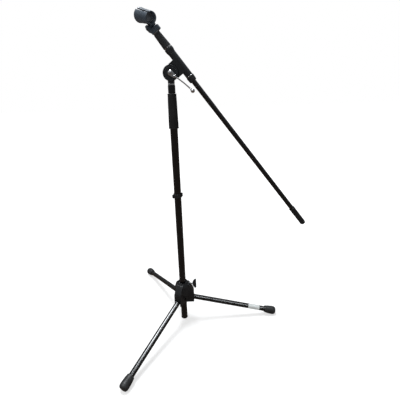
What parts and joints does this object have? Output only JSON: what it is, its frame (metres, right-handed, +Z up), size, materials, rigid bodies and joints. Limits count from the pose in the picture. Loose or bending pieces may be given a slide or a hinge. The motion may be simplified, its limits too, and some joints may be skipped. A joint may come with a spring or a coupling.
{
  "type": "boom microphone stand",
  "caption": "Folding tripod stand with a telescopic pole and a tilting, sliding boom that holds a microphone clip.",
  "frame": {"origin": "on the floor, at the centre of the lower face of the pole's end cap, under the pole's axis", "axes": "+Z up along the pole; +X along the right leg and towards the boom's lower end; the clamping lever is on the -Y side"},
  "size_m": [0.6672, 0.667, 1.1237],
  "materials": {
    "black_plastic": "moulded, satin",
    "black_rubber": "moulded, matt",
    "black_paint": "powder-coated, satin",
    "steel": "zinc plated",
    "chrome": "polished",
    "brass": "turned",
    "nylon": "moulded",
    "paper": "self-adhesive film, no print"
  },
  "bodies": {
    "base": {"hub_housing": "black_plastic", "hub_liner": "nylon", "lock_insert": "brass", "leg_pins": "steel"},
    "leg_right": {"leg_tube_right": "black_paint", "leg_plug_right": "black_plastic", "foot_right": "black_rubber", "leg_label": "paper"},
    "leg_back": {"leg_tube_back": "black_paint", "leg_plug_back": "black_plastic", "foot_back": "black_rubber"},
    "leg_front": {"leg_tube_front": "black_paint", "leg_plug_front": "black_plastic", "foot_front": "black_rubber"},
    "locking_screw": {"wing_shank": "chrome", "wing_knob": "black_plastic"},
    "pole": {"pole_tube": "black_paint", "pole_end_cap": "black_rubber", "pole_collet": "nylon"},
    "cable_holder": {"cable_clip": "black_plastic"},
    "pole_clutch": {"clutch_core": "nylon", "clutch_grip": "black_rubber", "clutch_ring_low": "black_plastic", "clutch_ring_top": "black_plastic"},
    "riser": {"riser_tube": "steel", "riser_guide": "nylon", "head_sleeve": "black_paint", "jam_nut": "chrome"},
    "knuckle": {"swivel_knuckle": "black_paint", "friction_washer": "nylon"},
    "lever": {"lever_boss": "chrome", "lever_rod": "chrome", "lever_ball": "chrome", "lever_cap": "steel"},
    "tee": {"tee_housing": "black_plastic", "tee_liner": "nylon", "tee_ring": "black_plastic", "tee_washer": "chrome", "pivot_bolt": "steel"},
    "collar": {"collar_nut": "black_plastic"},
    "boom": {"boom_tube": "black_paint", "boom_end_grip": "black_rubber", "boom_collet": "nylon"},
    "boom_clutch": {"boom_clutch_core": "nylon", "boom_clutch_grip": "black_rubber", "boom_clutch_washer": "chrome"},
    "extension": {"extension_tube": "steel", "extension_guide": "nylon", "extension_stud": "steel"},
    "clip_mount": {"clip_base": "black_plastic", "clip_insert": "brass", "clip_screw": "steel", "clip_nut": "steel"},
    "mic_clip": {"clip_barrel": "black_plastic"}
  },
  "joints": [
    {"name": "leg_fold_right", "type": "hinge", "parent": "base", "child": "leg_right", "pos_m": [0.029, 0, 0.1053], "axis": [0, 1, 0], "range_deg": [0, 75]},
    {"name": "leg_fold_back", "type": "hinge", "parent": "base", "child": "leg_back", "pos_m": [-0.0145, 0.02511, 0.1053], "axis": [-0.866, -0.5, 0], "range_deg": [0, 75]},
    {"name": "leg_fold_front", "type": "hinge", "parent": "base", "child": "leg_front", "pos_m": [-0.0145, -0.02511, 0.1053], "axis": [0.866, -0.5, 0], "range_deg": [0, 75]},
    {"name": "locking_screw_turn", "type": "hinge", "parent": "base", "child": "locking_screw", "pos_m": [0.03, 0, 0.165], "axis": [1, 0, 0], "range_deg": [-60, 300]},
    {"name": "hub_height", "type": "slide", "parent": "base", "child": "pole", "axis": [0, 0, 1], "range_m": [-0.28, 0.064]},
    {"name": "cable_holder_slide", "type": "slide", "parent": "pole", "child": "cable_holder", "axis": [0, 0, 1], "range_m": [-0.06, 0.19]},
    {"name": "pole_clutch_turn", "type": "hinge", "parent": "pole", "child": "pole_clutch", "pos_m": [0, 0, 0.83], "axis": [0, 0, 1], "range_deg": [-90, 90]},
    {"name": "riser_height", "type": "slide", "parent": "pole", "child": "riser", "axis": [0, 0, 1], "range_m": [0, 0.6]},
    {"name": "swivel_turn", "type": "hinge", "parent": "riser", "child": "knuckle", "pos_m": [0, 0, 0.9], "axis": [0, 0, 1], "range_deg": [-180, 180]},
    {"name": "lever_turn", "type": "hinge", "parent": "knuckle", "child": "lever", "pos_m": [0, -0.02, 0.944], "axis": [0, 1, 0], "range_deg": [-100, 70]},
    {"name": "boom_tilt", "type": "hinge", "parent": "knuckle", "child": "tee", "pos_m": [0, 0, 0.944], "axis": [0, -1, 0], "range_deg": [-33, 125]},
    {"name": "collar_turn", "type": "hinge", "parent": "tee", "child": "collar", "pos_m": [0.06188, 0, 0.92881], "axis": [0.6143, 0, -0.7891], "range_deg": [-90, 90]},
    {"name": "boom_slide", "type": "slide", "parent": "tee", "child": "boom", "axis": [0.6143, 0, -0.7891], "range_m": [-0.55, 0]},
    {"name": "boom_clutch_turn", "type": "hinge", "parent": "boom", "child": "boom_clutch", "pos_m": [-0.02043, 0, 1.03455], "axis": [0.6143, 0, -0.7891], "range_deg": [-90, 90]},
    {"name": "boom_extension", "type": "slide", "parent": "boom", "child": "extension", "axis": [0.6143, 0, -0.7891], "range_m": [-0.45, 0]},
    {"name": "clip_turn", "type": "hinge", "parent": "extension", "child": "clip_mount", "pos_m": [-0.04009, 0, 1.0598], "axis": [-0.6143, 0, 0.7891], "range_deg": [-180, 180]},
    {"name": "clip_tilt", "type": "hinge", "parent": "clip_mount", "child": "mic_clip", "pos_m": [-0.05016, 0, 1.07274], "axis": [0.7474, 0.3206, 0.5819], "range_deg": [-88, 26]}
  ]
}
